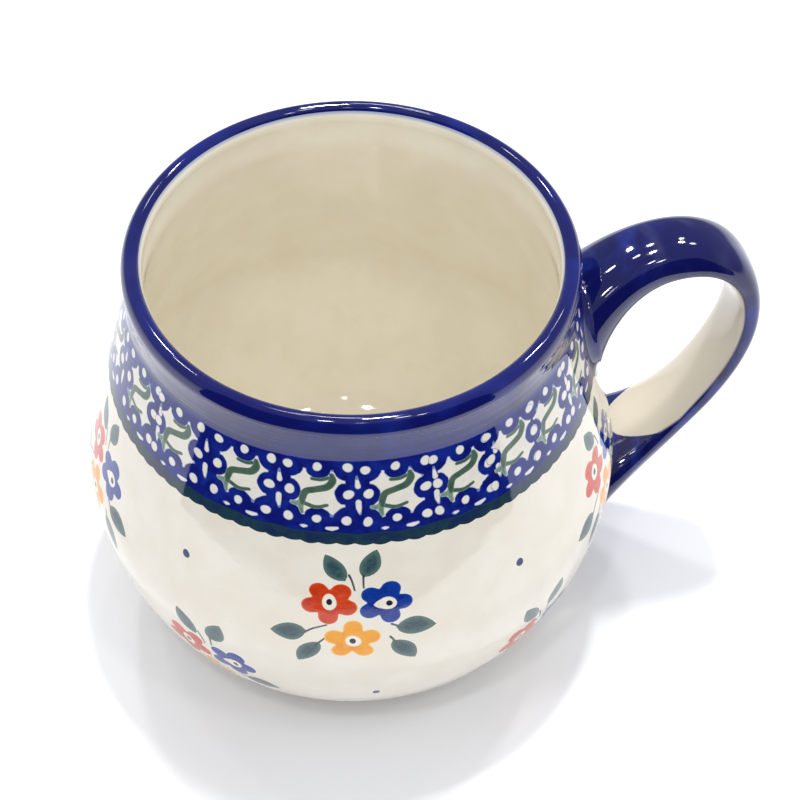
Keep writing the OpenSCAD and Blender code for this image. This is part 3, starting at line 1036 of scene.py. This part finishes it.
def handle_coat():
    t = np.linspace(0, 1, RINGS)
    front, back = strap_rings(t, COAT), strap_rings(t, 0.0)
    for rings in (front, back):
        for end in (0, -1):
            rings[end] = on_wall(rings[end], outer)
    points = np.concatenate([front.reshape(-1, 3), back.reshape(-1, 3)])
    skin = RINGS * SIDES
    faces = grid_faces(RINGS, SIDES)
    faces += [[skin + v for v in face] for face in grid_faces(RINGS, SIDES, True)]
    last = (RINGS - 1) * SIDES
    for k in range(SIDES):
        k2 = (k + 1) % SIDES
        faces.append([k2, k, skin + k, skin + k2])
        faces.append([last + k, last + k2, skin + last + k2, skin + last + k])
    obj = make_mesh("handle_coat", points, faces, [HANDLE_GLAZE])
    paint_inner_face(obj, t, front)
    return obj


def paint_inner_face(obj, t, rings):
    """Marks how far each point is inside the pale, unpainted face that the fingers touch."""
    along = np.concatenate([[0], np.cumsum(np.linalg.norm(np.diff(inner_curve(t), axis=0), axis=1))])
    angles = np.linspace(0, tau, SIDES, endpoint=False)
    half = np.minimum(strap_width(t)[:, None] / 2 + 0.3, STRAP_W / 2 + 0.8)
    off_middle = np.abs(rings[..., 1] - strap_lean(t)[:, None] - 0.6)
    inward = -np.sin(angles)[None, :]
    start, end = 0.3 * along[-1], along[-1] - 3.0
    from_end = (end - along)[:, None] - 11.0 * (off_middle / half) ** 3
    from_start = (along - start)[:, None]
    from_side = half - off_middle
    distance = np.minimum(np.minimum(from_end, from_start), from_side)
    distance = np.where(inward > 0.05, distance, -3.0)
    values = np.concatenate([distance.reshape(-1), np.full(distance.size, -3.0)])
    obj.data.attributes.new("pale", "FLOAT", "POINT").data.foreach_set("value", values)


def luting_seam(name, end):
    """The slip fillet round a root, hollow between the strap and the mug's wall."""
    root = on_wall(strap_rings(np.array([float(end)]), COAT)[0], outer)
    centre = root.mean(0)
    step = 1 / RINGS
    t = np.abs(end - np.arange(1, 12) * step)
    strap = strap_rings(t, COAT)
    steps = 8
    rows = []
    for k in range(SIDES):
        corner = root[k]
        path = np.concatenate([[corner], strap[:, k]])
        run = np.concatenate([[0], np.cumsum(np.linalg.norm(np.diff(path, axis=0), axis=1))])
        high = np.array([np.interp(SEAM, run, path[:, i]) for i in range(3)])
        outward = corner - centre
        low = on_wall(corner + SEAM * outward / np.linalg.norm(outward), outer)
        row = []
        for u in np.linspace(0, 1, steps + 1):
            row.append(low * (1 - u) ** 2 + 2 * corner * u * (1 - u) + high * u * u)
        rows.append(row + [corner])
    count = steps + 2
    points = [p for row in rows for p in row]
    faces = []
    for k in range(SIDES):
        for j in range(count):
            a, b = k * count + j, k * count + (j + 1) % count
            c, d = ((k + 1) % SIDES) * count + (j + 1) % count, ((k + 1) % SIDES) * count + j
            faces.append([a, b, c, d] if end else [d, c, b, a])
    obj = make_mesh(name, points, faces, [SEAM_GLAZE])
    obj.data.set_sharp_from_angle(angle=SHARP_SEAM_EDGE)
    return obj


def decorated_pieces():
    split = outer.s_at_z(RIM_COAT_Z)
    join = BORDER_LOW_S - BORDER_MARGIN
    low_shapes = belly_shapes()
    # A leaf tip that reaches over the join is in both coats, and each shows its own part.
    high_shapes = [(paint, line) for paint, line in low_shapes if max(q[1] for q in line) > join]
    high_shapes += band_shapes(split)
    band = painted_coat("stamped_band_coat", outer, join, split, high_shapes, "cream", 1.2)
    belly = painted_coat("painted_belly_coat", outer, outer.s_at_z(BARE_Z), join, low_shapes, "cream", 1.3)
    return band, belly


for node, piece in lathe_pieces().items():
    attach(piece, "root")
    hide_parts(node)
for piece in decorated_pieces():
    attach(piece, "root")
    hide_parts("outside_glaze")

coat = handle_coat()
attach(coat, "root")
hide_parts("handle_glaze")
for seam_name, seam_end in (("upper_luting_seam", 0), ("lower_luting_seam", 1)):
    fillet = luting_seam(seam_name + "_glazed", seam_end)
    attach(fillet, "root")
    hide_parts(seam_name)

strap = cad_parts["handle"]
strap.data.materials.clear()
strap.data.materials.append(CLAY)
